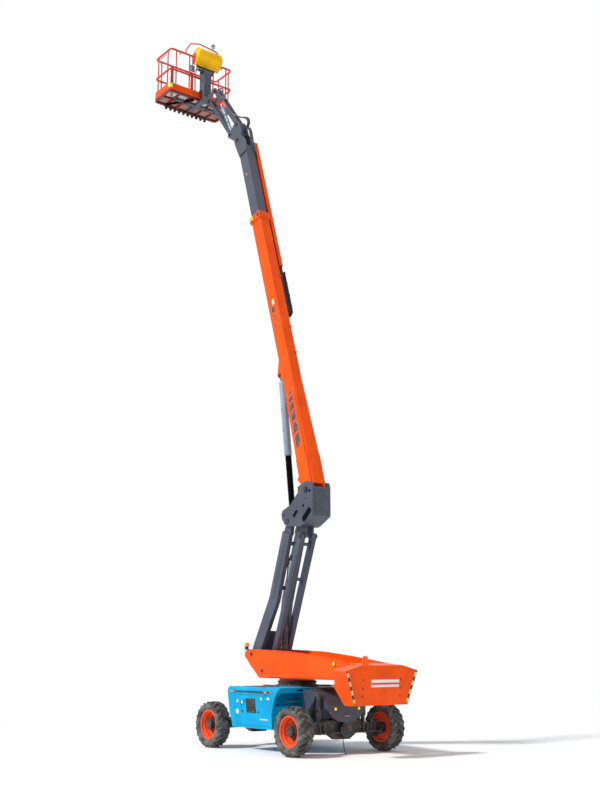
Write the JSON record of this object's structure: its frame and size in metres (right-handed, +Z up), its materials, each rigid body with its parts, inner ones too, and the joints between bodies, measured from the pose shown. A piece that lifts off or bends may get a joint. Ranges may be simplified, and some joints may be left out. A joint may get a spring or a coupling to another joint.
{
  "type": "articulating telescopic boom lift",
  "caption": "Self-propelled boom lift with a parallelogram riser, a telescoping boom, a jib and a rotating guarded work platform on a four-wheel chassis",
  "frame": {"origin": "centre of the whole machine's footprint in plan, on the ground", "axes": "+X from the counterweight towards the platform, +Y to the machine's left, +Z up"},
  "size_m": [7.0802, 2.4, 16.6221],
  "materials": {
    "orange_paint": "gloss",
    "blue_paint": "gloss",
    "slate_paint": "satin",
    "dark_steel": "satin",
    "ram_paint": "gloss",
    "rod_chrome": "polished",
    "rim_paint": "gloss",
    "tyre_rubber": "matte",
    "rail_paint": "gloss",
    "mesh_steel": "satin",
    "chain_plastic": "matte",
    "amber_lens": "gloss",
    "yellow_cover": "satin"
  },
  "bodies": {
    "chassis": {"chassis_frame": "slate_paint", "side_box_left": "blue_paint", "side_box_right": "blue_paint", "slewing_ring": "dark_steel", "hood_front": "slate_paint", "hood_rear": "slate_paint", "axle_front": "dark_steel", "axle_rear": "dark_steel"},
    "steer_left": {"steer_knuckle_left": "dark_steel"},
    "steer_right": {"steer_knuckle_right": "dark_steel"},
    "tie_rod": {"tie_rod": "dark_steel"},
    "turntable": {"turntable_frame": "orange_paint", "counterweight": "orange_paint", "beacon": "amber_lens", "lifting_eye": "orange_paint"},
    "riser": {"riser_arm": "slate_paint"},
    "riser_link": {"riser_link": "slate_paint"},
    "riser_ram_barrel": {"riser_ram_barrel": "dark_steel"},
    "riser_ram_rod": {"riser_ram_rod": "rod_chrome"},
    "knuckle": {"knuckle_bracket": "slate_paint"},
    "boom": {"base_boom": "orange_paint", "cable_tray": "dark_steel"},
    "boom_ram_barrel": {"boom_ram_barrel": "ram_paint"},
    "boom_ram_rod": {"boom_ram_rod": "rod_chrome"},
    "fly": {"fly_boom": "slate_paint", "cable_rail": "orange_paint"},
    "cable_chain": {"cable_chain": "chain_plastic"},
    "head": {"head_bracket": "slate_paint"},
    "level_ram_barrel": {"level_ram_barrel": "ram_paint"},
    "level_ram_rod": {"level_ram_rod": "rod_chrome"},
    "jib": {"jib_arm": "slate_paint"},
    "jib_link": {"jib_link": "slate_paint"},
    "jib_ram_barrel": {"jib_ram_barrel": "ram_paint"},
    "jib_ram_rod": {"jib_ram_rod": "rod_chrome"},
    "jib_end": {"jib_end": "slate_paint"},
    "platform": {"platform_post": "slate_paint", "platform_floor": "rail_paint", "floor_plate": "mesh_steel", "toe_boards": "orange_paint", "guard_rails": "rail_paint", "gate": "rail_paint", "console_guard": "rail_paint", "work_lamp": "dark_steel", "step_teeth": "chain_plastic", "console": "yellow_cover"},
    "wheel_front_left": {"rim_front_left": "rim_paint", "tyre_front_left": "tyre_rubber"},
    "wheel_front_right": {"rim_front_right": "rim_paint", "tyre_front_right": "tyre_rubber"},
    "wheel_rear_left": {"rim_rear_left": "rim_paint", "tyre_rear_left": "tyre_rubber"},
    "wheel_rear_right": {"rim_rear_right": "rim_paint", "tyre_rear_right": "tyre_rubber"}
  },
  "joints": [
    {"name": "slew", "type": "hinge", "parent": "chassis", "child": "turntable", "pos_m": [-1.09, 0, 1.2], "axis": [0, 0, 1], "continuous": true},
    {"name": "riser_lift", "type": "hinge", "parent": "turntable", "child": "riser", "pos_m": [-0.11, 0, 1.73], "axis": [0, 1, 0], "range_deg": [-64.5, 3]},
    {"name": "riser_link_swing", "type": "hinge", "parent": "turntable", "child": "riser_link", "pos_m": [-0.46, 0, 1.43], "axis": [0, 1, 0], "range_deg": [-65.85, 4.35]},
    {"name": "knuckle_level", "type": "hinge", "parent": "riser", "child": "knuckle", "pos_m": [-1.05206, 0, 4.24965], "axis": [0, 1, 0], "range_deg": [-4.35, 65.85]},
    {"name": "riser_ram_swing", "type": "hinge", "parent": "turntable", "child": "riser_ram_barrel", "pos_m": [-0.64, 0, 1.4], "axis": [0, 1, 0], "range_deg": [-65.08, 4.3]},
    {"name": "riser_ram_stroke", "type": "slide", "parent": "riser_ram_barrel", "child": "riser_ram_rod", "axis": [-0.0913, 0, 0.9958], "range_m": [-0.68876, 0.0455]},
    {"name": "boom_lift", "type": "hinge", "parent": "knuckle", "child": "boom", "pos_m": [-1.63206, 0, 4.80965], "axis": [0, -1, 0], "range_deg": [-74, 2]},
    {"name": "boom_ram_swing", "type": "hinge", "parent": "boom", "child": "boom_ram_barrel", "pos_m": [-0.57207, 0, 7.29849], "axis": [0, -1, 0], "range_deg": [-2.35, 0.11]},
    {"name": "boom_ram_stroke", "type": "slide", "parent": "boom_ram_barrel", "child": "boom_ram_rod", "axis": [-0.1266, 0, -0.992], "range_m": [-0.9977, 0.0465]},
    {"name": "telescope", "type": "slide", "parent": "boom", "child": "fly", "axis": [0.2924, 0, 0.9563], "range_m": [-1.7, 2.7]},
    {"name": "cable_chain_travel", "type": "slide", "parent": "boom", "child": "cable_chain", "axis": [0.2924, 0, 0.9563], "range_m": [-0.872, 1.372]},
    {"name": "head_level", "type": "hinge", "parent": "fly", "child": "head", "pos_m": [1.0273, 0, 13.16941], "axis": [0, 1, 0], "range_deg": [-75.52, 3.52]},
    {"name": "level_ram_swing", "type": "hinge", "parent": "fly", "child": "level_ram_barrel", "pos_m": [0.67376, 0, 12.42003], "axis": [0, -1, 0], "range_deg": [-0.11, 2.37]},
    {"name": "level_ram_stroke", "type": "slide", "parent": "level_ram_barrel", "child": "level_ram_rod", "axis": [0.2834, 0, 0.959], "range_m": [-0.19663, 0.00916]},
    {"name": "jib_lift", "type": "hinge", "parent": "head", "child": "jib", "pos_m": [1.1073, 0, 13.59741], "axis": [0, -1, 0], "range_deg": [-62, 20]},
    {"name": "jib_link_swing", "type": "hinge", "parent": "head", "child": "jib_link", "pos_m": [1.3773, 0, 13.44441], "axis": [0, -1, 0], "range_deg": [-63.64, 21.64]},
    {"name": "jib_end_level", "type": "hinge", "parent": "jib", "child": "jib_end", "pos_m": [2.0702, 0, 14.87523], "axis": [0, -1, 0], "range_deg": [-21.64, 63.64]},
    {"name": "jib_ram_swing", "type": "hinge", "parent": "head", "child": "jib_ram_barrel", "pos_m": [1.3773, 0, 13.44441], "axis": [0, -1, 0], "range_deg": [-68.73, 23.37]},
    {"name": "jib_ram_stroke", "type": "slide", "parent": "jib_ram_barrel", "child": "jib_ram_rod", "axis": [0.449, 0, 0.8936], "range_m": [-0.30721, 0.10446]},
    {"name": "platform_rotate", "type": "hinge", "parent": "jib_end", "child": "platform", "pos_m": [2.6902, 0, 14.99723], "axis": [0, 0, 1], "range_deg": [-80, 80]},
    {"name": "steer_left", "type": "hinge", "parent": "chassis", "child": "steer_left", "pos_m": [-2.365, 0.8, 0.4225], "axis": [0, 0, 1], "range_deg": [-22, 22]},
    {"name": "steer_right", "type": "hinge", "parent": "chassis", "child": "steer_right", "pos_m": [-2.365, -0.8, 0.4225], "axis": [0, 0, 1], "range_deg": [-22, 22]},
    {"name": "tie_rod_travel", "type": "slide", "parent": "chassis", "child": "tie_rod", "axis": [0, -1, 0], "range_m": [-0.07391, 0.07391]},
    {"name": "roll_front_left", "type": "hinge", "parent": "chassis", "child": "wheel_front_left", "pos_m": [0.185, 1.05, 0.4225], "axis": [0, 1, 0], "continuous": true},
    {"name": "roll_front_right", "type": "hinge", "parent": "chassis", "child": "wheel_front_right", "pos_m": [0.185, -1.05, 0.4225], "axis": [0, 1, 0], "continuous": true},
    {"name": "roll_rear_left", "type": "hinge", "parent": "steer_left", "child": "wheel_rear_left", "pos_m": [-2.365, 1.05, 0.4225], "axis": [0, 1, 0], "continuous": true},
    {"name": "roll_rear_right", "type": "hinge", "parent": "steer_right", "child": "wheel_rear_right", "pos_m": [-2.365, -1.05, 0.4225], "axis": [0, 1, 0], "continuous": true}
  ],
  "couplings": [
    {"joint": "riser_link_swing", "follows": "riser_lift", "ratio": 1},
    {"joint": "knuckle_level", "follows": "riser_lift", "ratio": -1},
    {"joint": "riser_ram_swing", "follows": "riser_lift", "ratio": 0.98828},
    {"joint": "riser_ram_stroke", "follows": "riser_lift", "m_per_rad": 0.59929},
    {"joint": "boom_ram_swing", "follows": "boom_lift", "ratio": 0.031102},
    {"joint": "boom_ram_stroke", "follows": "boom_lift", "m_per_rad": 0.75694},
    {"joint": "cable_chain_travel", "follows": "telescope", "ratio": 0.5},
    {"joint": "head_level", "follows": "boom_lift", "ratio": 1},
    {"joint": "level_ram_swing", "follows": "boom_lift", "ratio": -0.031331},
    {"joint": "level_ram_stroke", "follows": "boom_lift", "m_per_rad": 0.14918},
    {"joint": "jib_link_swing", "follows": "jib_lift", "ratio": 1},
    {"joint": "jib_end_level", "follows": "jib_lift", "ratio": -1},
    {"joint": "jib_ram_swing", "follows": "jib_lift", "ratio": 1.08},
    {"joint": "jib_ram_stroke", "follows": "jib_lift", "m_per_rad": 0.27658},
    {"joint": "steer_right", "follows": "steer_left", "ratio": 1},
    {"joint": "tie_rod_travel", "follows": "steer_left", "m_per_rad": 0.171}
  ]
}
